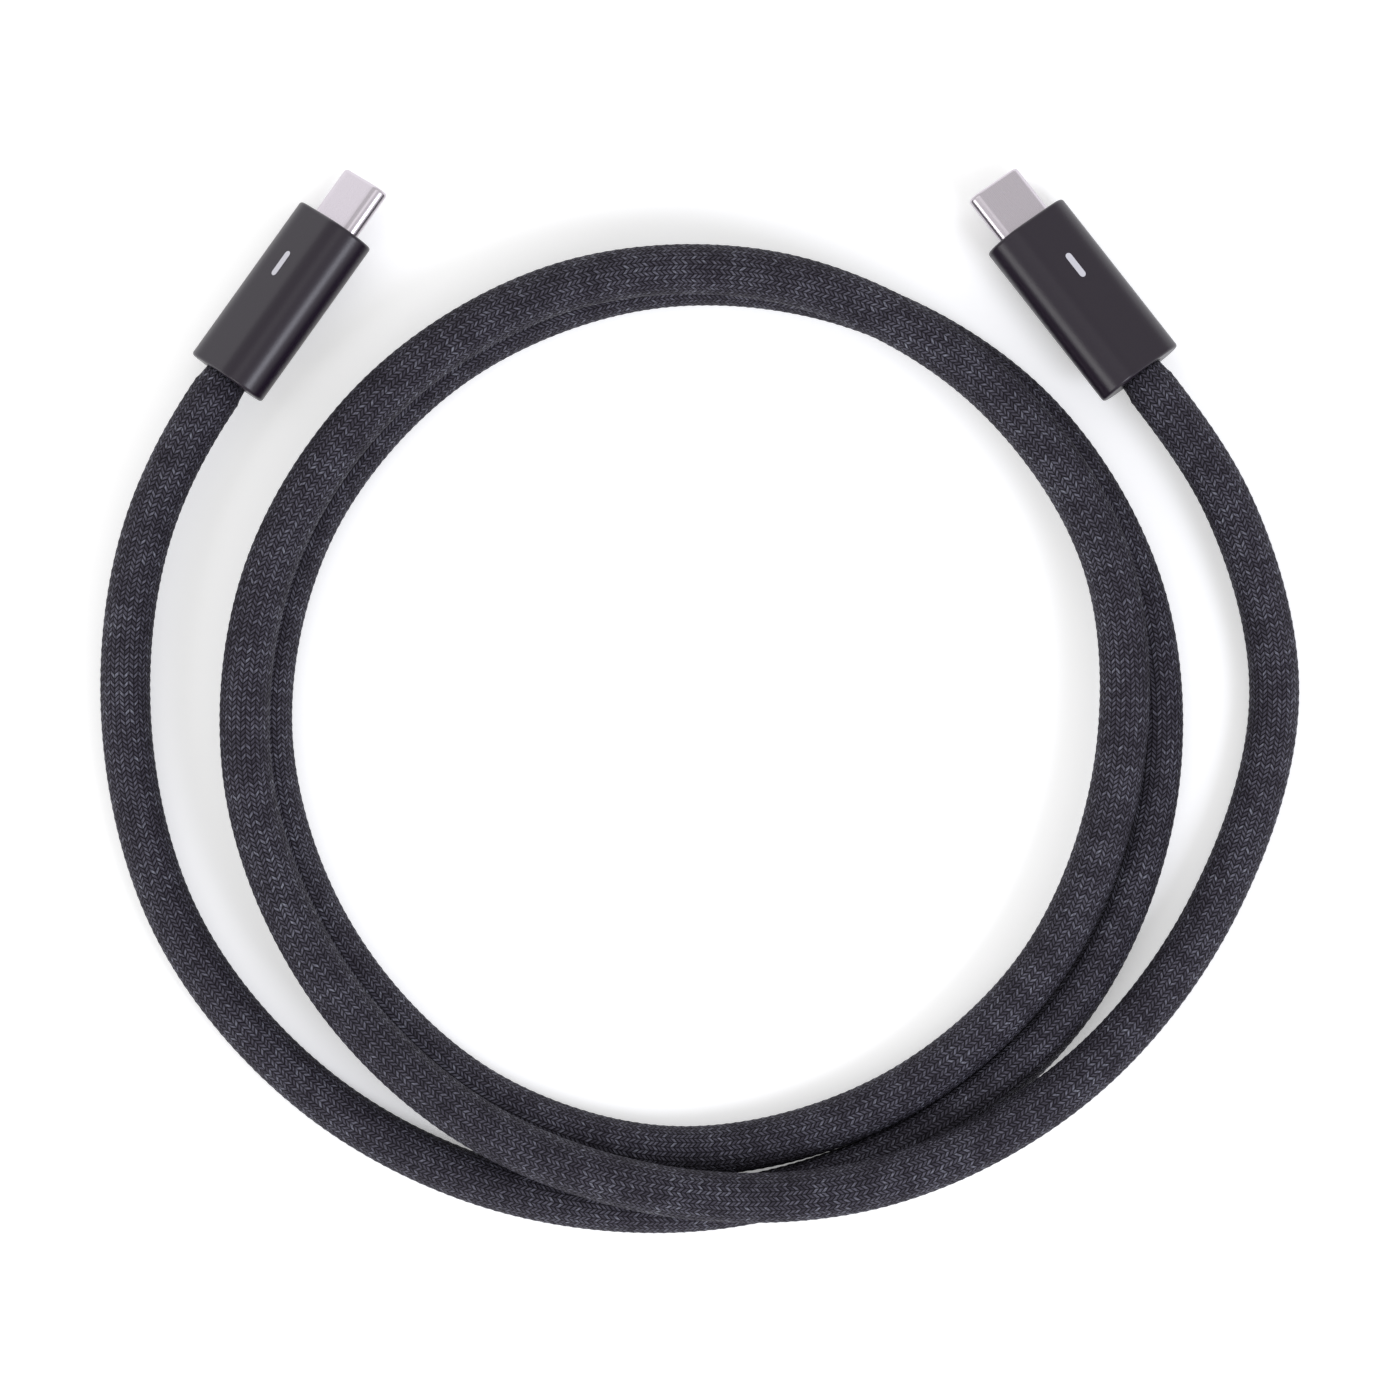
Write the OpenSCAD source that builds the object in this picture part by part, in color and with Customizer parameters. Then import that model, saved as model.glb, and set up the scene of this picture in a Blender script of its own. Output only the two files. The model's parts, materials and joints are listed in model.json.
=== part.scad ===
// Braided charging cable with a reversible oval plug on each end, lying in a loose coil.
// Millimetres. The cable lies on z = 0 and the origin is under the middle of its outline.
// Each plug is drawn in its own frame: the cord's mouth at the origin, +X towards the tip,
// Y across the width and Z through the thickness. at_plug() then lays it where it rests.

/* [Cord] */
// Outside diameter of the braided sleeve
cord_d = 6.3; // [5.9:0.1:6.3]
// Diameter of the sleeve where it is drawn in to enter a boot
neck_d = 5.8; // [5.2:0.1:5.8]
// Gap all round the drawn-in cord in the mouth of the boot, for its swing
swing_gap = 0.15; // [0.12:0.01:0.2]

/* [Boot] */
// Length of the boot, from the cord's mouth to its front face
boot_l = 23.5; // [21:0.1:30]
// Width of the boot
boot_w = 12.4; // [10.3:0.1:15]
// Thickness of the boot
boot_t = 7.2; // [7.1:0.1:9]
// Wall of the boot along its sides
boot_wall = 0.6; // [0.5:0.05:0.8]
// Thickness of the boot's front wall, round the plug shell
front_wall = 1.2; // [0.8:0.1:2]
// Depth of the boot's rear wall, round the cord
rear_wall = 4; // [3.6:0.1:5]
// Rounding of the boot's two end edges
boot_edge_r = 0.4; // [0.2:0.05:0.5]

/* [Plug shell] */
// Width of the plug shell
shell_w = 8.25; // [7.9:0.05:10]
// Thickness of the plug shell
shell_t = 2.4; // [2.3:0.05:3]
// Length of shell that stands out of the boot
shell_out = 6.65; // [6:0.05:8]
// Length of shell held inside the boot
shell_in = 5.8; // [4.5:0.1:7]
// Sheet thickness of the plug shell
shell_wall = 0.3; // [0.25:0.01:0.32]
// Rounding of the rolled edge at the shell's tip
shell_tip_r = 0.45; // [0.3:0.05:0.5]

/* [Contact block] */
// Height of the slot that takes the socket's tongue
tongue_gap = 0.9; // [0.8:0.02:0.95]
// Depth of that slot
tongue_depth = 5.6; // [5:0.1:6.4]
// Wall of the contact block beside the slot
tongue_side_wall = 0.4; // [0.36:0.01:0.5]
// Number of contacts in each row
contact_count = 12; // [8:1:12]
// Distance from one contact to the next
contact_pitch = 0.5; // [0.4:0.01:0.5]
// Width of one contact
contact_w = 0.28; // [0.2:0.01:0.3]
// Sheet thickness of the contacts and of the ground springs
contact_t = 0.12; // [0.1:0.01:0.13]

/* [Circuit card and cans] */
// Width of the circuit card
card_w = 6.6; // [5.6:0.1:7]
// Thickness of the circuit card
card_t = 0.8; // [0.7:0.05:0.9]
// Side of the square chip on the card's upper face
chip_side = 3; // [2:0.1:3.4]
// Sheet thickness of the two shield cans
can_sheet = 0.2; // [0.15:0.01:0.3]

/* [Cable end] */
// Diameter of the cable's inner jacket
jacket_d = 4.6; // [4.4:0.1:4.7]
// Distance from the cord's mouth to the end of the jacket
jacket_end = 8; // [7:0.1:9]
// Thickness of the shield braid folded back over the jacket
collar_t = 0.15; // [0.1:0.01:0.2]
// Wall of the crimped ferrule
ferrule_wall = 0.25; // [0.2:0.01:0.3]
// Diameter of one signal wire
signal_d = 0.54; // [0.4:0.01:0.56]
// Diameter of one power wire
power_d = 0.8; // [0.6:0.02:0.82]

/* [Printed mark] */
// Length of the plain bar printed on each boot
mark_l = 3.6; // [2:0.1:5]
// Width of the plain bar
mark_w = 0.9; // [0.6:0.1:1.6]
// Distance of the bar's middle from the boot's front face
mark_back = 8; // [5:0.5:12]

/* [How the plugs lie] */
// Roll of the left plug about its own length
left_roll = -46; // [-60:1:60]
// Roll of the right plug about its own length
right_roll = 29; // [-60:1:60]
// Dip of the left plug's tip
left_dip = 2; // [0:0.5:5]
// Dip of the right plug's tip
right_dip = 4; // [0:0.5:5]

/* [Hidden] */
// Small gap between inner pieces, and overlap of a cut with the face that it leaves
fit = 0.05;
cut = 1;
$fn = 48;

// Sections of the cord and the plug
cord_r = cord_d / 2;
neck_r = neck_d / 2;
tip_x = boot_l + shell_out;
shell_back = boot_l - shell_in;
cavity_w = boot_w - 2 * boot_wall;
cavity_t = boot_t - 2 * boot_wall;
bore_w = shell_w - 2 * shell_wall;
bore_t = shell_t - 2 * shell_wall;
back_edge_r = 0.12;
// The shell's tip is rolled in to a lip: its thickness, and its reach from the shell's outside
lip_t = 0.2;
lip_in = shell_tip_r + 0.03;

// Contact block, its slot, contacts and springs
block_back = shell_back + 0.2;
block_tip = tip_x - lip_t - fit;
block_w = bore_w - 2 * fit;
block_t = bore_t - 2 * fit;
tongue_w = block_w - 2 * tongue_side_wall;
slot_back = tip_x - tongue_depth;
beam_z = tongue_gap / 2 + 0.04;
groove_z = beam_z + contact_t + 0.03;
contact_foot = 1.6;
contact_tip = tip_x - 0.9;
bump_x = tip_x - 1.8;
spring_l = 1.6;
spring_w = 5;
spring_pocket = contact_t + 0.02;
spring_x = tip_x - 2.8;
plate_t = 0.2;
arm_w = 0.18;

// Circuit card, cans and wires
card_back = jacket_end + 2.2;
card_front = block_back - 0.1;
can_gap = 0.25;
can_back = jacket_end + 0.3;
can_front = shell_back - 0.1;
can_half_w = card_w / 2 + can_gap + can_sheet;
mould_wall = 0.4;
can_corner = max(0, can_half_w - (boot_w - boot_t) / 2);
can_half_h = sqrt(pow(cavity_t / 2 - fit - mould_wall, 2) - pow(can_corner, 2));
chip_t = 0.7;
solder_l = 1.2;
signal_pitch = 0.6;
power_y = 2 * signal_pitch + power_d / 2 + 0.05;
collar_r = jacket_d / 2 + 0.02;
ferrule_r = collar_r + collar_t + 0.02;
ferrule_front = jacket_end - 0.4;

// Where each plug lies: [mouth x, mouth y, heading, roll, dip]
LEFT = [-59, 40.1, 54.6, left_roll, left_dip];
RIGHT = [54.9, 40.6, 127.8, right_roll, right_dip];

// The rolled boot stands on its front lower edge, which sets the height of its mouth.
function half_rise(p) = boot_t / 2 + (boot_w - boot_t) / 2 * abs(sin(p[3]));
function mouth(p) = [p[0], p[1], half_rise(p) * cos(p[4]) + boot_l * sin(p[4])];
function heading(p) = [cos(p[2]) * cos(p[4]), sin(p[2]) * cos(p[4]), -sin(p[4])];

// Route of the cord between the mouths: x, y and how far it rides above lying flat.
// It winds nearly three times anticlockwise, and each later turn lies on the one before.
ROUTE = [
    [-68.5, 22.25, 2.5], [-71.75, -1, 0.5], [-65.5, -27.75, 0], [-47, -49.75, 0],
    [-26.75, -60.25, 0], [0.25, -63.25, 0], [25.75, -55.5, 0], [46.75, -37.25, 0],
    [56.5, -12.75, 0], [55.25, 12.5, 0], [41, 36.5, 0], [21.5, 48.75, 0],
    [-6, 52, 0], [-32, 41.5, 0], [-48.5, 22, 0], [-54, -5, 0],
    [-47.5, -27.25, 0], [-27, -49.25, 0], [-5.25, -56.25, 0], [24.5, -49.25, 1.75],
    [41.75, -34.25, 3.5], [52.25, -6.75, 5.25], [50.5, 17.25, 6.25], [35, 39.75, 6.75],
    [10.5, 52.25, 6.75], [-16, 51.5, 6.5], [-39.25, 38, 6.25], [-53.5, 16, 6.25],
    [-56, -10.5, 6], [-44.75, -37, 5.75], [-29.5, -51.5, 5.75], [-3.75, -61, 6.75],
    [21.5, -60, 7.25], [47.5, -46.75, 3.5], [63.75, -26.5, 0.5], [71.75, 1.5, 0.25],
    [66, 24, 2.5]
];
RINGS_PER_SPAN = 2;
TUBE_SIDES = 12;
NECK_L = 1.6;

// Smooth curve through the knots: each slope blends the two chords that meet there.
KNOTS = concat([mouth(LEFT)], [for (p = ROUTE) [p[0], p[1], cord_r + p[2]]], [mouth(RIGHT)]);
SPANS = len(KNOTS) - 1;
function chord(i) = norm(KNOTS[i + 1] - KNOTS[i]);
function blend(i) =
    let (a = (KNOTS[i] - KNOTS[i - 1]) / chord(i - 1), b = (KNOTS[i + 1] - KNOTS[i]) / chord(i))
    (a * chord(i) + b * chord(i - 1)) / (chord(i - 1) + chord(i));
function slope(i) = i == 0 ? -heading(LEFT) : i == SPANS ? heading(RIGHT) : blend(i);
function on_span(i, t) =
    (2 * t * t * t - 3 * t * t + 1) * KNOTS[i] + (t * t * t - 2 * t * t + t) * chord(i) * slope(i)
    + (3 * t * t - 2 * t * t * t) * KNOTS[i + 1] + (t * t * t - t * t) * chord(i) * slope(i + 1);
function above_table(p) = [p[0], p[1], max(p[2], cord_r)];

// Centres and radii of the tube's rings, with a drawn-in neck at each mouth
INNER = [for (i = [0:SPANS - 1]) for (k = [0:RINGS_PER_SPAN - 1]) if (i + k > 0)
    above_table(on_span(i, k / RINGS_PER_SPAN))];
CENTRES = concat(
    [mouth(LEFT), mouth(LEFT) - NECK_L * heading(LEFT)],
    INNER,
    [mouth(RIGHT) - NECK_L * heading(RIGHT), mouth(RIGHT)]
);
LAST = len(CENTRES) - 1;
function ring_r(i) = i < 2 || i > LAST - 2 ? neck_r : cord_r;
function unit(v) = v / norm(v);
function along(i) =
    i == 0 ? -heading(LEFT) : i == LAST ? heading(RIGHT) : unit(CENTRES[i + 1] - CENTRES[i - 1]);
function across(i) = unit(cross(along(i), [0, 0, 1]));
function upward(i) = cross(across(i), along(i));

// Lays a plug's piece where that plug rests.
module at_plug(p) {
    translate(mouth(p)) rotate([0, 0, p[2]]) rotate([0, p[4], 0]) rotate([p[3], 0, 0]) children();
}

// Profile of a round-edged disc, for revolving: radius r, length l, edge roundings r0 and r1.
module edge_profile(r, l, r0, r1) {
    square([r - max(r0, r1), l]);
    translate([0, r0]) square([r, l - r0 - r1]);
    translate([0, 0]) square([r - r0, l / 2]);
    translate([0, l / 2]) square([r - r1, l / 2]);
    translate([r - r0, r0]) circle(r0);
    translate([r - r1, l - r1]) circle(r1);
}

// Oval bar along +X from x0, with rounded ends: a slab between two half-round sides.
module oval_bar(x0, l, w, t, r0, r1) {
    for (side = [-1, 1])
        translate([x0, side * (w - t) / 2, 0]) rotate([0, 90, 0])
            rotate_extrude() edge_profile(t / 2, l, r0, r1);
    translate([x0, -(w - t) / 2, 0]) rotate(a = -120, v = [1, 1, 1])
        linear_extrude(height = w - t) {
            edge_profile(t / 2, l, r0, r1);
            mirror([1, 0]) edge_profile(t / 2, l, r0, r1);
        }
}

// Plain oval prism along +X, for openings and inner pieces.
module oval(x0, l, w, t) {
    for (side = [-1, 1])
        translate([x0, side * (w - t) / 2, 0]) rotate([0, 90, 0]) cylinder(h = l, d = t);
    translate([x0, -(w - t) / 2, -t / 2]) cube([l, w - t, t]);
}

module rod(x0, l, r) {
    translate([x0, 0, 0]) rotate([0, 90, 0]) cylinder(h = l, r = r);
}

module block(x0, x1, half_w, z0, z1) {
    translate([x0, -half_w, z0]) cube([x1 - x0, 2 * half_w, z1 - z0]);
}

// The cord: one tube swept along the route, closed by a flat face at each mouth.
module braided_cord() {
    points = [for (i = [0:LAST]) for (k = [0:TUBE_SIDES - 1])
        let (a = 360 * (k + 0.5) / TUBE_SIDES)
        CENTRES[i] + ring_r(i) * (cos(a) * across(i) + sin(a) * upward(i))];
    walls = [for (i = [0:LAST - 1]) for (k = [0:TUBE_SIDES - 1])
        let (a = i * TUBE_SIDES + k, b = i * TUBE_SIDES + (k + 1) % TUBE_SIDES)
        each [[a, b + TUBE_SIDES, a + TUBE_SIDES], [a, b, b + TUBE_SIDES]]];
    start_cap = [[for (k = [0:TUBE_SIDES - 1]) TUBE_SIDES - 1 - k]];
    end_cap = [[for (k = [0:TUBE_SIDES - 1]) LAST * TUBE_SIDES + k]];
    color([0.21, 0.2, 0.25]) polyhedron(points, concat(walls, start_cap, end_cap), convexity = 10);
}

// The cord's rounded end inside the boot, on which the plug swings
module cord_end() {
    color([0.15, 0.15, 0.17]) intersection() {
        sphere(r = neck_r);
        block(0, neck_r + cut, neck_r + cut, -neck_r - cut, neck_r + cut);
    }
}

module boot() {
    color([0.17, 0.165, 0.18]) difference() {
        oval_bar(0, boot_l, boot_w, boot_t, boot_edge_r, boot_edge_r);
        oval(rear_wall, boot_l - rear_wall - front_wall, cavity_w, cavity_t);
        oval(boot_l - front_wall - cut, front_wall + 2 * cut, shell_w + 2 * fit, shell_t + 2 * fit);
        rod(-cut, rear_wall + 2 * cut, neck_r + swing_gap);
    }
}

// Moulding that fills the boot round the cans, the ferrule and the shell's hidden end
module inner_mould() {
    color([0.12, 0.12, 0.13]) difference() {
        oval(rear_wall + fit, boot_l - rear_wall - front_wall - 2 * fit,
            cavity_w - 2 * fit, cavity_t - 2 * fit);
        rod(0, can_back + cut, ferrule_r + ferrule_wall + fit);
        block(can_back - fit, can_front + fit, can_half_w + fit, -can_half_h - fit, can_half_h + fit);
        oval(can_front - cut, boot_l - can_front + cut, shell_w + 2 * fit, shell_t + 2 * fit);
    }
}

// Half of the steel box round the circuit card, open to the front, with a notch for the wires
module shield_can() {
    color([0.72, 0.72, 0.74]) difference() {
        block(can_back, can_front, can_half_w, fit / 2, can_half_h);
        block(can_back + can_sheet, can_front + cut, can_half_w - can_sheet, -cut, can_half_h - can_sheet);
        block(can_back - cut, can_back + can_sheet + cut, power_y + power_d / 2 + fit,
            -cut, card_t / 2 + power_d + 2 * fit);
    }
}

module plug_shell() {
    color([0.78, 0.77, 0.79]) difference() {
        oval_bar(shell_back, shell_in + shell_out, shell_w, shell_t, back_edge_r, shell_tip_r);
        oval(shell_back - cut, shell_in + shell_out - lip_t + cut, bore_w, bore_t);
        oval(tip_x - lip_t - cut, lip_t + 2 * cut, shell_w - 2 * lip_in, shell_t - 2 * lip_in);
    }
}

module contact_places() {
    for (i = [0:contact_count - 1])
        translate([0, (i - (contact_count - 1) / 2) * contact_pitch, 0]) children();
}

// Insulating block in the shell, with the tongue's slot, a groove for each contact, the pocket
// of the latch plate and a shallow pocket for each ground spring
module contact_block() {
    color([0.1, 0.1, 0.11]) difference() {
        oval(block_back, block_tip - block_back, block_w, block_t);
        block(slot_back, tip_x + cut, tongue_w / 2, -tongue_gap / 2, tongue_gap / 2);
        for (face = [0, 1]) mirror([0, 0, face]) {
            contact_places()
                block(block_back - cut, contact_tip + fit, contact_w / 2 + 0.03,
                    tongue_gap / 2 - 0.01, groove_z);
            block(spring_x - fit, spring_x + spring_l + fit, spring_w / 2 + fit,
                block_t / 2 - spring_pocket, block_t);
        }
        latch_shape(0.03);
    }
}

// Spring contacts of one row: solder foot, beam, and the bump that meets the tongue
module contact_row() {
    foot_z = card_t / 2 + 0.01;
    foot_x = block_back - contact_foot;
    knee_x = block_back - 0.4;
    color([0.83, 0.68, 0.36]) contact_places()
        translate([0, contact_w / 2, 0]) rotate([90, 0, 0]) linear_extrude(height = contact_w)
            polygon([
                [foot_x, foot_z], [knee_x - 0.2, foot_z], [knee_x, beam_z],
                [bump_x, beam_z], [bump_x + 0.3, beam_z - 0.12], [bump_x + 0.6, beam_z],
                [contact_tip, beam_z], [contact_tip, beam_z + contact_t],
                [knee_x, beam_z + contact_t], [knee_x - 0.2, foot_z + contact_t],
                [foot_x, foot_z + contact_t]
            ]);
}

// Outline of the middle plate and its two latch arms, grown by g for its pocket
module latch_shape(g) {
    half_w = tongue_w / 2 + 0.03 + arm_w;
    difference() {
        block(block_back + fit - g, tip_x - 1.2 + g, half_w + g, -plate_t / 2 - g, plate_t / 2 + g);
        block(slot_back - 0.1 + g, tip_x, tongue_w / 2 + 0.03 - g, -plate_t, plate_t);
    }
}

module latch_plate() {
    color([0.7, 0.7, 0.72]) latch_shape(0);
}

// Slotted ground spring between the block and the shell
module ground_spring() {
    finger_gap = spring_w / 7;
    color([0.75, 0.74, 0.72]) difference() {
        block(spring_x, spring_x + spring_l, spring_w / 2,
            block_t / 2 - spring_pocket + 0.01, block_t / 2 - spring_pocket + 0.01 + contact_t);
        for (i = [-1, 1])
            translate([spring_x + 0.5, i * finger_gap - finger_gap / 4, 0])
                cube([spring_l, finger_gap / 2, block_t]);
    }
}

module circuit_card() {
    color([0.1, 0.3, 0.2]) block(card_back, card_front, card_w / 2, -card_t / 2, card_t / 2);
}

// A chip on each face of the card and four small capacitors beside the upper one
module card_chips() {
    mid_x = (card_back + solder_l + block_back - contact_foot) / 2;
    low_side = chip_side * 0.8;
    cap = [0.6, 0.35, 0.35];
    color([0.08, 0.08, 0.09]) {
        translate([mid_x - chip_side / 2, -chip_side / 2, card_t / 2 + 0.01])
            cube([chip_side, chip_side, chip_t]);
        translate([mid_x - low_side / 2, -low_side / 2, -card_t / 2 - 0.01 - chip_t])
            cube([low_side, low_side, chip_t]);
        for (x = [-1, 1]) for (y = [-1, 1])
            translate([mid_x + x - cap[0] / 2, y * (chip_side / 2 + 0.6) - cap[1] / 2, card_t / 2 + 0.01])
                cube(cap);
    }
}

module jacket_end_piece() {
    start = neck_r + 2 * fit;
    color([0.25, 0.25, 0.27]) rod(start, jacket_end - start, jacket_d / 2);
}

// Shield braid folded back over the jacket
module shield_collar() {
    color([0.8, 0.68, 0.5]) difference() {
        rod(rear_wall, jacket_end - 0.2 - rear_wall, collar_r + collar_t);
        rod(rear_wall - cut, jacket_end, collar_r);
    }
}

module crimp_ferrule() {
    color([0.76, 0.76, 0.78]) difference() {
        rod(rear_wall + 2 * fit, ferrule_front - rear_wall - 2 * fit, ferrule_r + ferrule_wall);
        rod(rear_wall - cut, jacket_end, ferrule_r);
    }
}

module wire(y, d, face) {
    start = jacket_end + 0.02;
    translate([0, y, face * (card_t / 2 + d / 2 + 0.01)]) rod(start, card_back + solder_l - start, d / 2);
}

// Four pairs of fine wires, two pairs soldered to each face of the card
module signal_wires() {
    color([0.2, 0.35, 0.6]) for (face = [-1, 1]) for (i = [-1.5:1.5])
        wire(i * signal_pitch, signal_d, face);
}

module power_wires() {
    color([0.7, 0.15, 0.12]) for (side = [-1, 1]) wire(side * power_y, power_d, 1);
}

// Plain bar printed on the upper face of the boot
module printed_bar() {
    print_t = 0.03;
    color([0.8, 0.8, 0.83]) translate([boot_l - mark_back, 0, boot_t / 2]) {
        for (end = [-1, 1])
            translate([end * (mark_l - mark_w) / 2, 0, 0]) cylinder(h = print_t, d = mark_w);
        translate([-(mark_l - mark_w) / 2, -mark_w / 2, 0]) cube([mark_l - mark_w, mark_w, print_t]);
    }
}

braided_cord();
at_plug(LEFT) cord_end();  // left_cord_end
at_plug(LEFT) boot();  // left_boot
at_plug(LEFT) inner_mould();  // left_inner_mould
at_plug(LEFT) shield_can();  // left_shield_can_upper
at_plug(LEFT) mirror([0, 0, 1]) shield_can();  // left_shield_can_lower
at_plug(LEFT) plug_shell();  // left_plug_shell
at_plug(LEFT) contact_block();  // left_contact_block
at_plug(LEFT) contact_row();  // left_contacts_upper
at_plug(LEFT) mirror([0, 0, 1]) contact_row();  // left_contacts_lower
at_plug(LEFT) latch_plate();  // left_latch_plate
at_plug(LEFT) ground_spring();  // left_ground_spring_upper
at_plug(LEFT) mirror([0, 0, 1]) ground_spring();  // left_ground_spring_lower
at_plug(LEFT) circuit_card();  // left_circuit_card
at_plug(LEFT) card_chips();  // left_card_chips
at_plug(LEFT) jacket_end_piece();  // left_jacket_end
at_plug(LEFT) shield_collar();  // left_shield_collar
at_plug(LEFT) crimp_ferrule();  // left_crimp_ferrule
at_plug(LEFT) signal_wires();  // left_signal_wires
at_plug(LEFT) power_wires();  // left_power_wires
at_plug(LEFT) printed_bar();  // left_printed_bar
at_plug(RIGHT) cord_end();  // right_cord_end
at_plug(RIGHT) boot();  // right_boot
at_plug(RIGHT) inner_mould();  // right_inner_mould
at_plug(RIGHT) shield_can();  // right_shield_can_upper
at_plug(RIGHT) mirror([0, 0, 1]) shield_can();  // right_shield_can_lower
at_plug(RIGHT) plug_shell();  // right_plug_shell
at_plug(RIGHT) contact_block();  // right_contact_block
at_plug(RIGHT) contact_row();  // right_contacts_upper
at_plug(RIGHT) mirror([0, 0, 1]) contact_row();  // right_contacts_lower
at_plug(RIGHT) latch_plate();  // right_latch_plate
at_plug(RIGHT) ground_spring();  // right_ground_spring_upper
at_plug(RIGHT) mirror([0, 0, 1]) ground_spring();  // right_ground_spring_lower
at_plug(RIGHT) circuit_card();  // right_circuit_card
at_plug(RIGHT) card_chips();  // right_card_chips
at_plug(RIGHT) jacket_end_piece();  // right_jacket_end
at_plug(RIGHT) shield_collar();  // right_shield_collar
at_plug(RIGHT) crimp_ferrule();  // right_crimp_ferrule
at_plug(RIGHT) signal_wires();  // right_signal_wires
at_plug(RIGHT) power_wires();  // right_power_wires
at_plug(RIGHT) printed_bar();  // right_printed_bar
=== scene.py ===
import json
import math

import bpy
import numpy as np
from mathutils import Matrix, Vector


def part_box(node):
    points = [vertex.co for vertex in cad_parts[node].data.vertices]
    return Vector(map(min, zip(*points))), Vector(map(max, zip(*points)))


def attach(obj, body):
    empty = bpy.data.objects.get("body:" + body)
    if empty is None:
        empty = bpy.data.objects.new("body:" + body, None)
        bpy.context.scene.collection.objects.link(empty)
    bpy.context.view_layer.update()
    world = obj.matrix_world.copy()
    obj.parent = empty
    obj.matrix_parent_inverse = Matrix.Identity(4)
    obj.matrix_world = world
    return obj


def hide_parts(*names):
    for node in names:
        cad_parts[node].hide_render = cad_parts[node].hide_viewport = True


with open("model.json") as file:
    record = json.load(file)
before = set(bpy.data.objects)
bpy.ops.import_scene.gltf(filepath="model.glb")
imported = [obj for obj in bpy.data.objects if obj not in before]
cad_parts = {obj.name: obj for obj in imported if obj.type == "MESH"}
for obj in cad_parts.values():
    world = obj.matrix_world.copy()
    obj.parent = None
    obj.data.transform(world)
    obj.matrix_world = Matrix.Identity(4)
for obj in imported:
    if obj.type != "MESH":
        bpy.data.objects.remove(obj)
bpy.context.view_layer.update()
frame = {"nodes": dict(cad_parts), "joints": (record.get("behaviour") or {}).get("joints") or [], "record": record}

# The braided charging cable: its outer skins, their finishes, the table and the light.
# Lengths are in metres.
# A plug's pieces are made in the plug's own axes: x to the tip, y across, z out of the printed face.

MM = 0.001
SIDES = ("left", "right")

# ---------------------------------------------------------------- camera

CAMERA_HEIGHT = 0.9
VIEW_WIDTH = 0.175
SENSOR = 36.0
CORD_D = 6.3 * MM
CORD_R = CORD_D / 2


def place_camera():
    """A long lens straight above the coil, as wide as VIEW_WIDTH at the height of the cord's middle."""
    lens = bpy.data.cameras.new("overhead_camera")
    lens.sensor_width = SENSOR
    lens.lens = SENSOR * (CAMERA_HEIGHT - CORD_R) / VIEW_WIDTH
    camera = bpy.data.objects.new("overhead_camera", lens)
    camera.location = (0, 0, CAMERA_HEIGHT)
    bpy.context.collection.objects.link(camera)
    bpy.context.scene.camera = camera


place_camera()

# ---------------------------------------------------------------- where the plugs lie


def plug_axes(side):
    """The frame of one plug at rest: its origin at the cord's mouth, z through its printed face."""
    hinge = next(j for j in frame["joints"] if j["child"] == side + "_plug")
    face = next(m for m in frame["record"]["mounts"] if m["name"] == side + "_front_face")
    mouth = Vector(hinge["pos_m"])
    forward = Vector(face["axis"]).normalized()
    low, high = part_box(side + "_printed_bar")
    towards_print = (low + high) / 2 - mouth
    up = (towards_print - towards_print.dot(forward) * forward).normalized()
    across = up.cross(forward)
    turn = Matrix((forward, across, up)).transposed().to_4x4()
    return Matrix.Translation(mouth) @ turn


AXES = {side: plug_axes(side) for side in SIDES}


def span_of(node, axes):
    """Lowest and highest corner of a CAD node in a plug's own axes."""
    back = axes.inverted()
    corners = np.array([back @ v.co for v in frame["nodes"][node].data.vertices])
    return corners.min(0), corners.max(0)


# ---------------------------------------------------------------- the cord's route

# The knots between the two mouths: x, y and how far the cord rides above lying flat.
# It winds nearly three times anticlockwise, and each later turn lies on the one before.
ROUTE = [
    (-0.0685, 0.02225, 0.0025), (-0.07175, -0.001, 0.0005), (-0.0655, -0.02775, 0),
    (-0.047, -0.04975, 0), (-0.02675, -0.06025, 0), (0.00025, -0.06325, 0),
    (0.02575, -0.0555, 0), (0.04675, -0.03725, 0), (0.0565, -0.01275, 0),
    (0.05525, 0.0125, 0), (0.041, 0.0365, 0), (0.0215, 0.04875, 0),
    (-0.006, 0.052, 0), (-0.032, 0.0415, 0), (-0.0485, 0.022, 0),
    (-0.054, -0.005, 0), (-0.0475, -0.02725, 0), (-0.027, -0.04925, 0),
    (-0.00525, -0.05625, 0), (0.0245, -0.04925, 0.00175), (0.04175, -0.03425, 0.0035),
    (0.05225, -0.00675, 0.00525), (0.0505, 0.01725, 0.00625), (0.035, 0.03975, 0.00675),
    (0.0105, 0.05225, 0.00675), (-0.016, 0.0515, 0.0065), (-0.03925, 0.038, 0.00625),
    (-0.0535, 0.016, 0.00625), (-0.056, -0.0105, 0.006), (-0.04475, -0.037, 0.00575),
    (-0.0295, -0.0515, 0.00575), (-0.00375, -0.061, 0.00675), (0.0215, -0.06, 0.00725),
    (0.0475, -0.04675, 0.0035), (0.06375, -0.0265, 0.0005), (0.07175, 0.0015, 0.00025),
    (0.066, 0.024, 0.0025),
]
SAMPLES_PER_SPAN = 60


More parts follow.
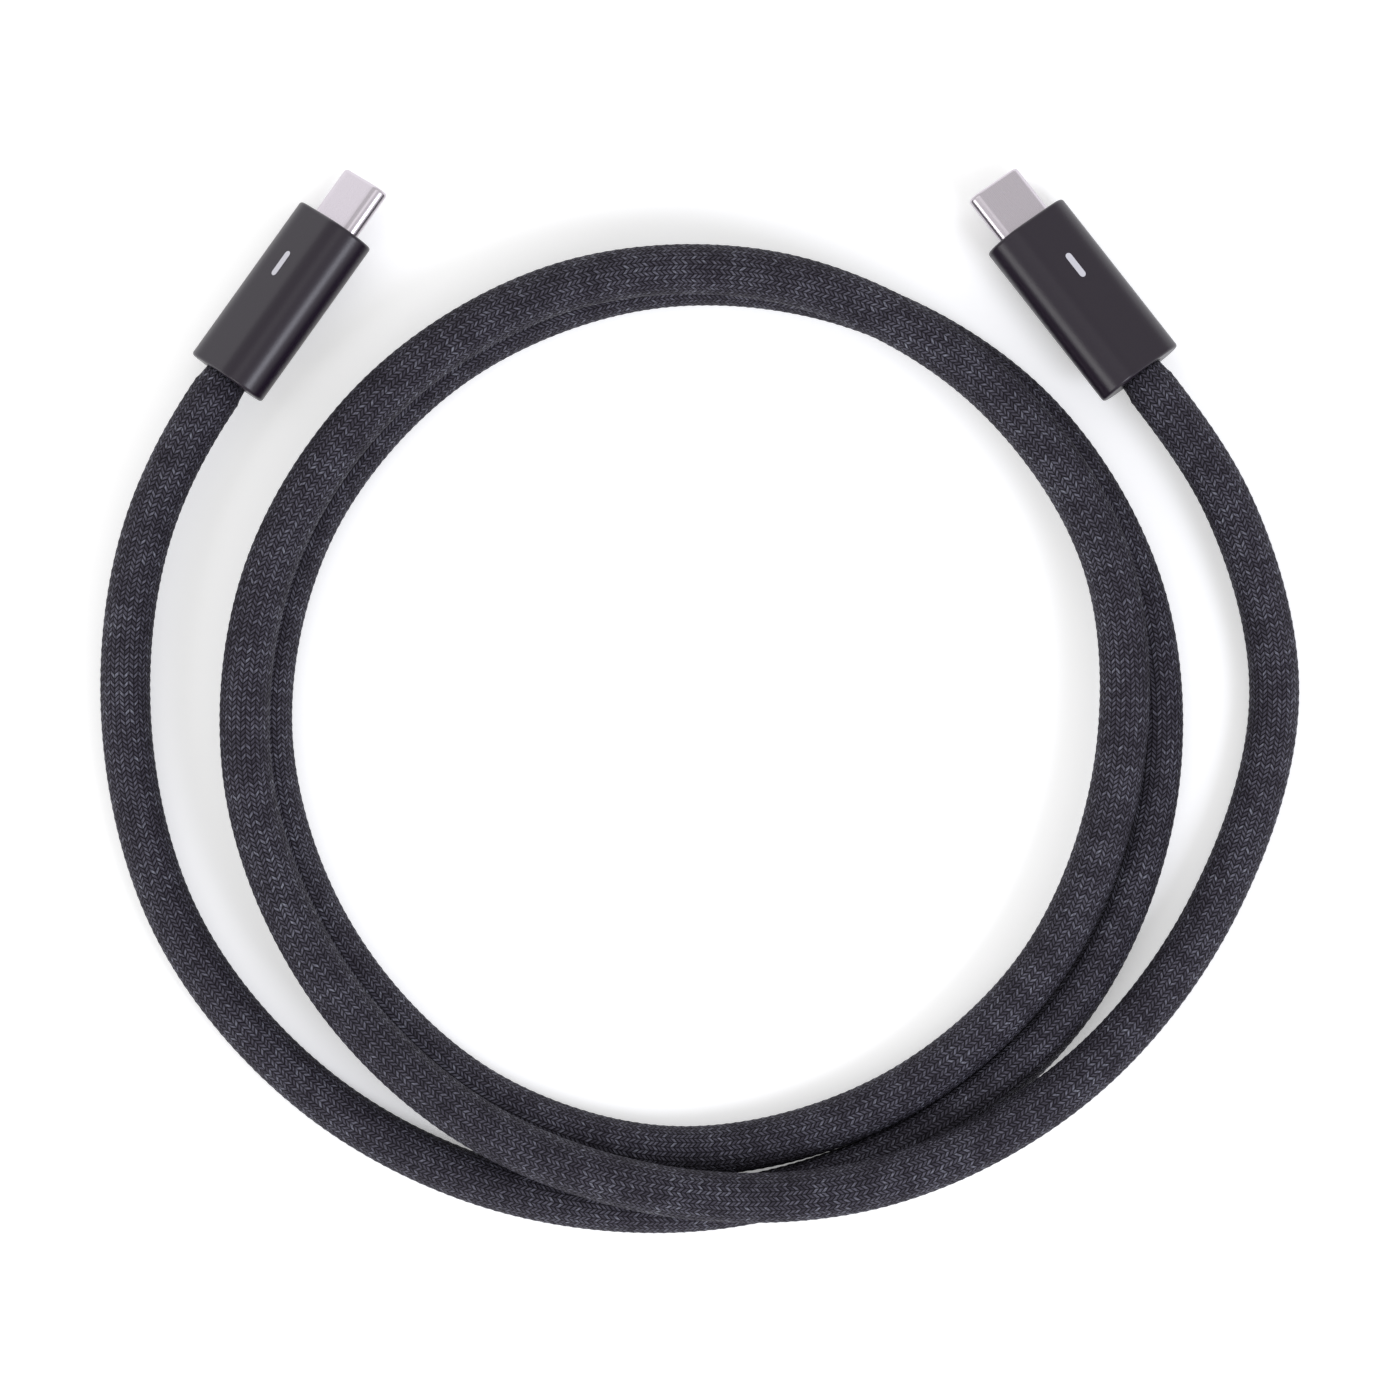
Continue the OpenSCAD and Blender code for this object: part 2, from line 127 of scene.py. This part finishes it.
def cord_line():
    """Close points along the smooth curve through the knots, from the left mouth to the right one."""
    start, end = AXES["left"], AXES["right"]
    inner = [(x, y, CORD_R + lift) for x, y, lift in ROUTE]
    knots = np.array([start.translation[:], *inner, end.translation[:]])
    chords = np.diff(knots, axis=0)
    lengths = np.linalg.norm(chords, axis=1)[:, None]
    slopes = np.empty_like(knots)
    slopes[0] = -np.array(start.col[0][:3])
    slopes[-1] = np.array(end.col[0][:3])
    unit = chords / lengths
    slopes[1:-1] = (unit[:-1] * lengths[1:] + unit[1:] * lengths[:-1]) / (lengths[:-1] + lengths[1:])
    t = np.linspace(0, 1, SAMPLES_PER_SPAN, endpoint=False)[:, None]
    spans = [
        (2 * t**3 - 3 * t**2 + 1) * knots[i] + (t**3 - 2 * t**2 + t) * lengths[i] * slopes[i]
        + (3 * t**2 - 2 * t**3) * knots[i + 1] + (t**3 - t**2) * lengths[i] * slopes[i + 1]
        for i in range(len(chords))
    ]
    line = np.vstack([*spans, knots[-1:]])
    line[:, 2] = np.maximum(line[:, 2], CORD_R)
    return line


def evenly(line, count):
    """The same line as count points an equal distance apart, and its length."""
    steps = np.linalg.norm(np.diff(line, axis=0), axis=1)
    reached = np.concatenate([[0], np.cumsum(steps)])
    wanted = np.linspace(0, reached[-1], count)
    return np.stack([np.interp(wanted, reached, line[:, i]) for i in range(3)], 1), reached[-1]


# ---------------------------------------------------------------- the braided sleeve

BANDS = 32  # bands round the sleeve, whose floats slant one way and the other in turn
ROWS = 832  # floats along each band, each of them two yarns side by side
PER_ROW = 4  # places along the cord in each row of floats
BAKE_STRIPS = 5  # the sleeve's map is cut into this many strips, laid side by side
MAP_MARGIN = 1.0  # empty border round each strip of the map, in rows and in bands
ROW_SPILL = 2  # rows that the last floats of a strip may reach past it
FLOAT_RISE = 0.09 * MM  # how far the middle of a float stands above its tucked ends
GAP_DEPTH = 0.06 * MM  # how far the gap between two floats lies below their middles
NECK_R = 2.9 * MM  # the cord is this thin up to NECK_START from a mouth, and full beyond NECK_END
NECK_START = 0.8 * MM
NECK_END = 2.2 * MM
TWIST = 0.3  # slow turn of the bands round the cord, in radians
TWIST_LENGTH = 310 * MM


def smooth_step(low, high, value):
    """0 up to low, 1 from high on, and a smooth rise between them."""
    t = np.clip((value - low) / (high - low), 0, 1)
    return t * t * (3 - 2 * t)


class Skin:
    """The vertices and faces of the sleeve, and where each corner lies in the weave."""

    def __init__(self, line, length):
        along = np.gradient(line, axis=0)
        along /= np.linalg.norm(along, axis=1)[:, None]
        across = np.cross(along, (0, 0, 1))
        across /= np.linalg.norm(across, axis=1)[:, None]
        reached = np.linspace(0, length, len(line))
        from_mouth = np.minimum(reached, length - reached)
        self.line = line
        self.across = across
        self.up = np.cross(across, along)
        self.radius = NECK_R + (CORD_R - NECK_R) * smooth_step(NECK_START, NECK_END, from_mouth)
        self.turn = TWIST * np.sin(2 * np.pi * reached / TWIST_LENGTH)
        self.points = []
        self.rings = {}
        self.faces = []
        self.places = []

    def ring(self, kind, quarters, band, sunk):
        """Vertices at one place round the cord, at each of the rows given in quarters of a row."""
        angle = 2 * np.pi * band / BANDS + self.turn[quarters]
        out = np.cos(angle)[:, None] * self.across[quarters] + np.sin(angle)[:, None] * self.up[quarters]
        first = sum(len(p) for p in self.points)
        self.points.append(self.line[quarters] + (self.radius[quarters] - sunk)[:, None] * out)
        for i, quarter in enumerate(quarters):
            self.rings[kind, band, quarter] = first + i

    def add(self, *corners):
        """One face. A corner is its kind, its place round the cord and its quarter row."""
        self.faces.append([self.rings[kind, band % BANDS, quarter] for kind, band, quarter in corners])
        self.places.extend((band, quarter / PER_ROW) for kind, band, quarter in corners)


def weave_skin(line, length):
    """Each float is a low ridge on a slanting base: six triangles from its middle.

    Its ends tuck in at the edges of its band, and a gap parts it from the next float.
    The faces run clockwise seen from outside, so their normals point into the cord."""
    skin = Skin(line, length)
    last = PER_ROW * ROWS + 2
    for band in range(BANDS):
        starts = np.arange(ROWS + 1) * PER_ROW + (0 if band % 2 == 0 else 2)
        skin.ring("edge", starts, band, FLOAT_RISE)
        skin.ring("middle", np.arange(ROWS) * PER_ROW + 3, band + 0.5, 0)
        skin.ring("middle", np.arange(ROWS + 1) * PER_ROW + 1, band + 0.5, GAP_DEPTH)
        skin.ring("edge", np.array([last if band % 2 == 0 else 0]), band, FLOAT_RISE)
    for band in range(BANDS):
        left, right = (0, 2) if band % 2 == 0 else (2, 0)
        for row in range(0, PER_ROW * ROWS, PER_ROW):
            ring = [
                ("edge", band, row + left),
                ("middle", band + 0.5, row + 1),
                ("edge", band + 1, row + right),
                ("edge", band + 1, row + right + PER_ROW),
                ("middle", band + 0.5, row + 1 + PER_ROW),
                ("edge", band, row + left + PER_ROW),
            ]
            for i in range(6):
                skin.add(ring[i], ring[(i + 1) % 6], ("middle", band + 0.5, row + 3))
        # the notches that the slant leaves at both ends
        if band % 2 == 0:
            outer, inner = band, band + 1
            skin.add(("edge", outer, 0), ("edge", inner, 0), ("middle", band + 0.5, 1))
            skin.add(("middle", band + 0.5, 1), ("edge", inner, 0), ("edge", inner, 2))
            skin.add(("edge", outer, last - 2), ("middle", band + 0.5, last - 1), ("edge", outer, last))
            skin.add(("edge", outer, last), ("middle", band + 0.5, last - 1), ("edge", inner, last))
        else:
            outer, inner = band + 1, band
            skin.add(("edge", outer, 0), ("middle", band + 0.5, 1), ("edge", inner, 0))
            skin.add(("middle", band + 0.5, 1), ("edge", inner, 2), ("edge", inner, 0))
            skin.add(("edge", outer, last - 2), ("edge", outer, last), ("middle", band + 0.5, last - 1))
            skin.add(("edge", outer, last), ("edge", inner, last), ("middle", band + 0.5, last - 1))
    skin.add(*(("edge", band, 0) for band in reversed(range(BANDS))))
    skin.add(*(("edge", band, last) for band in range(BANDS)))
    return skin


def lay_map(mesh, places, face_sizes):
    """Lays the unrolled sleeve in strips side by side, so that its finish fills a square."""
    first = np.cumsum(face_sizes) - face_sizes
    lowest = np.minimum.reduceat(places[:, 1], first)
    rows_per_strip = math.ceil(ROWS / BAKE_STRIPS)
    strip = np.repeat((lowest // rows_per_strip).clip(0, BAKE_STRIPS - 1), face_sizes)
    rows_across = rows_per_strip + ROW_SPILL + 2 * MAP_MARGIN
    u = (places[:, 1] - strip * rows_per_strip + MAP_MARGIN) / rows_across
    v = (strip + (places[:, 0] + MAP_MARGIN / 2) / (BANDS + MAP_MARGIN)) / BAKE_STRIPS
    layer = mesh.uv_layers.new(name="OFBake")
    layer.uv.foreach_set("vector", np.stack([u, v], 1).astype(np.float32).ravel())


def braided_sleeve():
    """The sleeve with its weave and its map, the line it follows and that line's length."""
    line, length = evenly(cord_line(), PER_ROW * ROWS + 3)
    skin = weave_skin(line, length)
    places = np.array(skin.places, float)
    mesh = bpy.data.meshes.new("braided_sleeve")
    mesh.from_pydata(np.concatenate(skin.points).tolist(), [], skin.faces)
    mesh.shade_smooth()
    weave = mesh.attributes.new("weave", "FLOAT_VECTOR", "CORNER")
    weave.data.foreach_set("vector", np.pad(places, ((0, 0), (0, 1))).astype(np.float32).ravel())
    lay_map(mesh, places, np.array([len(f) for f in skin.faces]))
    sleeve = bpy.data.objects.new("braided_sleeve", mesh)
    bpy.context.collection.objects.link(sleeve)
    return sleeve, line, length


# ---------------------------------------------------------------- shader maths


class Signal:
    """A shader socket that can stand in a sum or a product."""

    def __init__(self, finish, socket):
        self.finish = finish
        self.socket = socket

    def maths(self, operation, *values):
        return self.finish.node("Math", {"operation": operation}, dict(enumerate(values)))

    def __add__(self, other):
        return self.maths("ADD", self, other)

    def __radd__(self, other):
        return self.maths("ADD", other, self)

    def __sub__(self, other):
        return self.maths("SUBTRACT", self, other)

    def __rsub__(self, other):
        return self.maths("SUBTRACT", other, self)

    def __mul__(self, other):
        return self.maths("MULTIPLY", self, other)

    def __rmul__(self, other):
        return self.maths("MULTIPLY", other, self)

    def __pow__(self, other):
        return self.maths("POWER", self, other)

    def __mod__(self, other):
        return self.maths("FLOORED_MODULO", self, other)

    def floor(self):
        return self.maths("FLOOR", self)

    def size(self):
        return self.maths("ABSOLUTE", self)


class Finish:
    """One material, built node by node."""

    def __init__(self, name):
        self.material = bpy.data.materials.new(name)
        self.material.use_nodes = True
        self.tree = self.material.node_tree
        self.tree.nodes.clear()

    def node(self, kind, settings=None, values=None, out=0):
        """Adds a node: first its settings, then the values or links of its sockets."""
        made = self.tree.nodes.new("ShaderNode" + kind)
        for name, setting in (settings or {}).items():
            if name == "stops":
                self.set_stops(made.color_ramp, setting)
            else:
                setattr(made, name, setting)
        for key, value in (values or {}).items():
            if isinstance(value, Signal):
                self.tree.links.new(value.socket, made.inputs[key])
            else:
                made.inputs[key].default_value = value
        return Signal(self, made.outputs[out]) if len(made.outputs) else None

    @staticmethod
    def set_stops(ramp, stops):
        while len(ramp.elements) < len(stops):
            ramp.elements.new(0.5)
        for element, (place, colour) in zip(ramp.elements, stops):
            element.position = place
            element.color = colour

    def place(self):
        """Where the point lies on its own piece."""
        return self.node("TexCoord", out=3)

    def stretched(self, x, y, z):
        """The place on the piece, scaled along each axis."""
        scale = {"operation": "MULTIPLY"}
        return self.node("VectorMath", scale, {0: self.place(), 1: (x, y, z)})

    def chance(self, *counts):
        """A random number for each yarn, from the numbers that count it."""
        which = self.node("CombineXYZ", {}, dict(enumerate(counts)))
        return self.node("TexWhiteNoise", {"noise_dimensions": "3D"}, {"Vector": which})

    def noise(self, where, scale, detail=2.0, rough=0.5):
        return self.node(
            "TexNoise", {}, {"Vector": where, "Scale": scale, "Detail": detail, "Roughness": rough}
        )

    def blend(self, first, second, share):
        """A colour between two others."""
        return self.node("Mix", {"data_type": "RGBA"}, {0: share, 6: first, 7: second}, out=2)

    def ramp(self, value, *stops):
        return self.node("ValToRGB", {"stops": stops}, {0: value})

    def fit(self, value, low, high, to_low, to_high):
        """The value's range low to high, moved smoothly to another range."""
        settings = {"interpolation_type": "SMOOTHSTEP"}
        return self.node(
            "MapRange", settings, {0: value, 1: low, 2: high, 3: to_low, 4: to_high}
        )

    def relief(self, height, depth, under=None):
        """A bump of that depth, on top of another one if there is one."""
        values = {"Height": height, "Distance": depth, "Strength": 1.0}
        if under is not None:
            values["Normal"] = under
        return self.node("Bump", {}, values)

    def surface(self, **values):
        """The surface itself. The names are the shader's sockets, with _ for a space."""
        sockets = {name.replace("_", " "): value for name, value in values.items()}
        shader = self.node("BsdfPrincipled", {}, sockets)
        self.node("OutputMaterial", {}, {0: shader})
        return self.material


def grey(value):
    return (value, value, value, 1)


# ---------------------------------------------------------------- finishes

# Near-black painted shade for the gaps between floats and yarns and where the floats tuck under. It also darkens
# the fibre streaks a little.
GAP_SHADE_AND_FIBRE_DARK = (0.004, 0.003, 0.005, 1)
YARN_DARK = (0.022, 0.019, 0.028, 1)
YARN_MID = (0.068, 0.062, 0.085, 1)
# The light yarn tones are partly the yarns' own lighter flecks and partly painted sheen and highlights on the
# floats.
YARN_LIGHT = (0.158, 0.154, 0.200, 1)
YARN_FLECK_AND_SHEEN = (0.300, 0.315, 0.370, 1)
YARN_RELIEF = 0.12 * MM
FIBRE_RELIEF = 0.012 * MM
BOOT_DARK = (0.0055, 0.0015, 0.0080, 1)
BOOT_LIGHT = (0.0120, 0.0055, 0.0155, 1)
SHELL_DARK = (0.57, 0.525, 0.57, 1)
SHELL_LIGHT = (0.585, 0.54, 0.585, 1)


def braid_finish():
    """Herringbone braid: rows of slanting floats, each of them two yarns of fine fibres, with painted shade in the
    gaps and painted highlights on the yarns.
    """
    f = Finish("charcoal_braid")
    weave = f.node("Attribute", {"attribute_name": "weave"}, out=1)
    around = f.node("SeparateXYZ", {}, {0: weave})
    row = Signal(f, around.socket.node.outputs[1])
    band = around.floor()
    side = around - band
    odd = band % 2
    lean = odd + side * (1 - 2 * odd)
    over = row - 0.5 * lean
    count = over.floor()
    within = over - count
    yarn = (within * 2).floor()
    yarn_place = within * 2 - yarn - 0.5
    rounded = 1 - (2 * yarn_place) ** 2
    from_middle = (side - 0.5).size()
    height = rounded * (1 - 0.75 * (2 * from_middle) ** 4)
    chance = f.chance(band, count, yarn)
    bundle = f.node("CombineXYZ", {}, {0: over * 18, 1: lean * 1.5, 2: band * 3.7})
    fibres = f.noise(bundle, 1.0, 2.0, 0.6)
    cloudy = f.noise(f.place(), 220.0, 2.0, 0.5)
    # Painted highlight: a short bright glint along each float, and the second yarn of each pair painted brighter
    # as sheen. Chance and cloudy are the yarns' own random tone.
    spot = f.node("CombineXYZ", {}, {0: over * 4, 1: lean * 3, 2: band * 5.3})
    glint = f.noise(spot, 1.0, 2.0, 0.6)
    tone_and_sheen = chance * 0.26 + yarn * 0.14 + f.fit(glint, 0.3, 0.7, 0.0, 0.31)
    lit = f.ramp(
        tone_and_sheen + f.fit(cloudy, 0.3, 0.7, 0.0, 0.14),
        (0.0, YARN_DARK), (0.40, YARN_MID), (0.68, YARN_LIGHT), (0.84, YARN_FLECK_AND_SHEEN),
    )
    # Painted shade: darker towards the gap between floats, towards the flanks of each rounded yarn (beside), and
    # towards the band edges where the floats tuck under.
    gap_shade = f.fit((within - 0.5).size(), 0.37, 0.5, 1.0, 0.15)
    beside = f.fit(rounded, 0.1, 0.95, 0.04, 1.0)
    tuck_shade = f.fit(from_middle, 0.24, 0.5, 1.0, 0.25)
    worn = f.fit(fibres, 0.3, 0.75, 0.6, 1.0)
    # The painted shade masks and the fibre streaks blend the yarn colour towards near black.
    return f.surface(
        Base_Color=f.blend(GAP_SHADE_AND_FIBRE_DARK, lit, gap_shade * beside * tuck_shade * worn),
        Roughness=f.fit(chance, 0.0, 1.0, 0.75, 0.55),
        Specular_IOR_Level=0.15,
        Normal=f.relief(fibres, FIBRE_RELIEF, f.relief(height, YARN_RELIEF)),
    )


def boot_finish():
    """Hard satin black with a fine even grain."""
    f = Finish("satin_black_boot")
    grain = f.noise(f.place(), 4500.0, 4.0, 0.6)
    return f.surface(
        Base_Color=f.blend(BOOT_DARK, BOOT_LIGHT, grain),
        Roughness=0.31 + grain * 0.06,
        Specular_IOR_Level=0.5,
        Normal=f.relief(grain, 0.009 * MM),
    )


def shell_finish():
    """Satin nickel, with the faint lengthwise lines of its drawing."""
    f = Finish("satin_nickel_shell")
    own = f.node("Attribute", {"attribute_name": "plug_place"}, out=1)
    drawn = f.node("VectorMath", {"operation": "MULTIPLY"}, {0: own, 1: (300, 16000, 16000)})
    lines = f.noise(drawn, 1.0, 3.0, 0.6)
    return f.surface(
        Base_Color=f.blend(SHELL_DARK, SHELL_LIGHT, lines),
        Metallic=1.0,
        Roughness=0.26 + lines * 0.03,
        Normal=f.relief(lines, 0.0003 * MM),
    )


def metal_finish(name, colour, roughness):
    """Plain sheet or plating, a little uneven."""
    f = Finish(name)
    rubbed = f.noise(f.stretched(3000, 9000, 9000), 1.0, 3.0, 0.6)
    darker = tuple(0.82 * c for c in colour)
    return f.surface(
        Base_Color=f.blend((*darker, 1), (*colour, 1), rubbed),
        Metallic=1.0,
        Roughness=roughness + rubbed * 0.12,
        Normal=f.relief(rubbed, 0.002 * MM),
    )


def plastic_finish(name, colour, roughness):
    """Moulded or printed plastic with a light grain."""
    f = Finish(name)
    grain = f.noise(f.place(), 7000.0, 3.0, 0.6)
    darker = tuple(0.8 * c for c in colour)
    return f.surface(
        Base_Color=f.blend((*darker, 1), (*colour, 1), grain),
        Roughness=roughness + grain * 0.1,
        Normal=f.relief(grain, 0.003 * MM),
    )


FINISHES = {
    "braid": braid_finish(),
    "boot_plastic": boot_finish(),
    "nickel_shell": shell_finish(),
    "insulator": plastic_finish("black_insulator", (0.02, 0.02, 0.022), 0.45),
    "gold_contact": metal_finish("gold_plate", (0.83, 0.62, 0.28), 0.2),
    "spring_steel": metal_finish("spring_steel", (0.60, 0.60, 0.62), 0.28),
    "tinned_steel": metal_finish("tinned_sheet", (0.66, 0.66, 0.68), 0.34),
    "circuit_board": plastic_finish("green_board", (0.02, 0.12, 0.06), 0.3),
    "chip_black": plastic_finish("chip_package", (0.02, 0.02, 0.02), 0.55),
    "inner_jacket": plastic_finish("inner_jacket", (0.035, 0.035, 0.04), 0.6),
    "copper_braid": metal_finish("tinned_copper", (0.72, 0.50, 0.36), 0.36),
    "signal_insulation": plastic_finish("blue_wire", (0.10, 0.25, 0.55), 0.35),
    "power_insulation": plastic_finish("red_wire", (0.55, 0.06, 0.05), 0.35),
    "moulding": plastic_finish("soft_moulding", (0.03, 0.03, 0.032), 0.6),
    "print_grey": plastic_finish("light_print", (0.62, 0.61, 0.67), 0.3),
}

# ---------------------------------------------------------------- boots and shells

ARC_STEPS = 24
FLAT_STEPS = 10
FILLET_STEPS = 6
TIP_STEPS = 10
BOOT_RINGS = 12  # rings along the straight part of a boot
SHELL_RINGS = 10  # rings along the straight part of a shell
CREASE_ANGLE = math.radians(40)
SUPPORT = 0.12 * MM  # rings this close to a rounded edge keep the flats beside it flat
BOOT_EDGE = 0.4 * MM
BOOT_WALL = 0.6 * MM
FRONT_WALL = 1.2 * MM
REAR_WALL = 4 * MM
BORE_R = 3.05 * MM
SHELL_WALL = 0.3 * MM
SHELL_GAP = 0.05 * MM
TIP_ROUND = 0.45 * MM
TIP_RIM = 0.03 * MM  # flat rim between the shell's rolled tip and its opening
TIP_LIP = 0.2 * MM  # thickness of the lip that the shell's rolled tip ends in
LIP_ROUND = 0.05 * MM


def oval_ring(x, width, thick):
    """Points round an oval section at x: two half-rounds joined by two flats."""
    r = thick / 2
    half = (width - thick) / 2
    bend = np.linspace(-math.pi / 2, math.pi / 2, ARC_STEPS + 1)
    right = np.stack([half + r * np.cos(bend), r * np.sin(bend)], 1)
    across = np.linspace(half, -half, FLAT_STEPS + 1)[1:-1]
    top = np.stack([across, np.full_like(across, r)], 1)
    half_turn = np.concatenate([right, top])
    outline = np.concatenate([half_turn, -half_turn])
    return np.column_stack([np.full(len(outline), x), outline])


def skin_of(width, thick):
    """A function for the ring at x that lies an inset inside an oval section."""
    return lambda x, inset: oval_ring(x, width - 2 * inset, thick - 2 * inset)


def round_ring(x, radius, pattern):
    """A circle at x whose points face the same way as those of an oval ring."""
    angle = np.arctan2(pattern[:, 2], pattern[:, 1])
    return np.column_stack([np.full(len(angle), x), radius * np.cos(angle), radius * np.sin(angle)])


def closed_loft(name, rings, slot, side):
    """A piece whose skin runs through all its rings and back to the first, in a plug's axes."""
    count, size = len(rings), len(rings[0])
    faces = [
        (i * size + k, i * size + (k + 1) % size, j * size + (k + 1) % size, j * size + k)
        for i in range(count)
        for j in [(i + 1) % count]
        for k in range(size)
    ]
    own = np.concatenate(rings)
    turn = np.array(AXES[side])
    mesh = bpy.data.meshes.new(name)
    mesh.from_pydata((own @ turn[:3, :3].T + turn[:3, 3]).tolist(), [], faces)
    place = mesh.attributes.new("plug_place", "FLOAT_VECTOR", "POINT")
    place.data.foreach_set("vector", own.astype(np.float32).ravel())
    mesh.shade_smooth()
    mesh.set_sharp_from_angle(angle=CREASE_ANGLE)
    mesh.materials.append(FINISHES[slot])
    piece = bpy.data.objects.new(name, mesh)
    bpy.context.collection.objects.link(piece)
    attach(piece, side + "_plug")
    return piece


def rounded_edge(radius, steps=FILLET_STEPS):
    """How far along and how far in each ring of a rounded edge lies, from the end face outwards."""
    turn = np.linspace(0, math.pi / 2, steps + 1)
    return [(radius * (1 - math.sin(a)), radius * (1 - math.cos(a))) for a in turn][::-1]


def boot(side):
    """The boot as a moulded sleeve: round mouth, rounded ends, oval opening round the shell."""
    low, high = span_of(side + "_boot", AXES[side])
    length, width, thick = high[0], high[1] - low[1], high[2] - low[2]
    shell_low, shell_high = span_of(side + "_plug_shell", AXES[side])
    slot_w = shell_high[1] - shell_low[1] + 2 * SHELL_GAP
    slot_t = shell_high[2] - shell_low[2] + 2 * SHELL_GAP
    pattern = oval_ring(0, width, thick)
    skin = skin_of(width, thick)
    edge = rounded_edge(BOOT_EDGE)
    straight = np.linspace(BOOT_EDGE + SUPPORT, length - BOOT_EDGE - SUPPORT, BOOT_RINGS)
    rings = [
        round_ring(REAR_WALL, BORE_R, pattern),
        round_ring(LIP_ROUND * 2, BORE_R, pattern),
        round_ring(0, BORE_R + LIP_ROUND * 2, pattern),
        skin(0, BOOT_EDGE + SUPPORT),
    ]
    rings += [skin(along, inset) for along, inset in edge]
    rings += [skin(x, 0) for x in straight]
    rings += [skin(length - along, inset) for along, inset in reversed(edge)]
    rings += [
        skin(length, BOOT_EDGE + SUPPORT),
        oval_ring(length, slot_w + 2 * LIP_ROUND, slot_t + 2 * LIP_ROUND),
        oval_ring(length - LIP_ROUND, slot_w, slot_t),
        oval_ring(length - FRONT_WALL, slot_w, slot_t),
        skin(length - FRONT_WALL, BOOT_WALL),
        skin(REAR_WALL, BOOT_WALL),
    ]
    piece = closed_loft(side + "_moulded_boot", rings, "boot_plastic", side)
    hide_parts(side + "_boot")
    return piece


def shell(side):
    """The drawn metal shell, with its edge rolled in at the tip."""
    low, high = span_of(side + "_plug_shell", AXES[side])
    back, tip = low[0], high[0]
    width, thick = high[1] - low[1], high[2] - low[2]
    skin = skin_of(width, thick)
    lip = TIP_ROUND + TIP_RIM
    bend = rounded_edge(TIP_ROUND, TIP_STEPS)
    straight = np.linspace(back + MM, tip - TIP_ROUND - SUPPORT, SHELL_RINGS)
    rings = [skin(back, 0), skin(back + SUPPORT, 0)]
    rings += [skin(x, 0) for x in straight]
    rings += [skin(tip - along, inset) for along, inset in reversed(bend)]
    rings += [
        skin(tip, lip),
        skin(tip - TIP_LIP, lip),
        skin(tip - TIP_LIP, SHELL_WALL),
        skin(back, SHELL_WALL),
    ]
    piece = closed_loft(side + "_nickel_shell", rings, "nickel_shell", side)
    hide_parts(side + "_plug_shell")
    return piece


sleeve, sleeve_line, sleeve_length = braided_sleeve()
sleeve.data.materials.append(FINISHES["braid"])
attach(sleeve, "cord")
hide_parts("braided_cord")

made = {side: [boot(side), shell(side)] for side in SIDES}

# ---------------------------------------------------------------- pieces kept from the CAD model

slot_of = {row["node"]: row["material_slot"] for row in frame["record"]["subparts"]}
for name, piece in frame["nodes"].items():
    piece.data.materials.clear()
    piece.data.materials.append(FINISHES[slot_of[name]])

# ---------------------------------------------------------------- table and light

FLOOR_SIZE = 6.0
LAMP_DISTANCE = 1.1
TABLE_GLOW = 0.3
ROOM_LIGHT = 0.78


def table_top():
    """A plain white table, lit a little from within as a light table is."""
    half = FLOOR_SIZE / 2
    mesh = bpy.data.meshes.new("table_top")
    corners = [(-half, -half, 0), (half, -half, 0), (half, half, 0), (-half, half, 0)]
    mesh.from_pydata(corners, [], [(0, 1, 2, 3)])
    f = Finish("white_table")
    mottle = f.noise(f.place(), 60.0, 2.0, 0.5)
    white = f.blend(grey(0.89), grey(0.91), mottle)
    mesh.materials.append(
        f.surface(
            Base_Color=white,
            Roughness=0.8,
            Specular_IOR_Level=0.2,
            Emission_Color=grey(1.0),
            Emission_Strength=TABLE_GLOW,
        )
    )
    top = bpy.data.objects.new("table_top", mesh)
    bpy.context.collection.objects.link(top)


def soft_box(name, towards, width, height, strength, colour=(1, 1, 1)):
    """A rectangular area light that way from the coil, aimed at it."""
    lamp = bpy.data.lights.new(name, "AREA")
    lamp.shape = "RECTANGLE"
    lamp.size = width
    lamp.size_y = height
    lamp.energy = strength * width * height
    lamp.color = colour
    light = bpy.data.objects.new(name, lamp)
    direction = Vector(towards).normalized()
    light.location = direction * LAMP_DISTANCE
    light.rotation_euler = direction.to_track_quat("Z", "Y").to_euler()
    bpy.context.collection.objects.link(light)


def studio():
    """Even white light all round, and soft boxes to the left, to the right and behind."""
    world = bpy.data.worlds.new("studio")
    world.use_nodes = True
    background = world.node_tree.nodes["Background"]
    background.inputs["Color"].default_value = (1.0, 1.0, 1.0, 1)
    background.inputs["Strength"].default_value = ROOM_LIGHT
    bpy.context.scene.world = world
    soft_box("left_box", (-0.67, -0.52, 0.53), 0.5, 0.5, 11.0)
    soft_box("right_box", (0.52, -0.37, 0.77), 0.38, 0.38, 32.0, (0.88, 0.90, 1.0))
    soft_box("back_box", (-0.18, 0.35, 0.90), 1.1, 0.4, 2.0)
    bpy.context.scene.view_settings.view_transform = "Standard"


table_top()
studio()
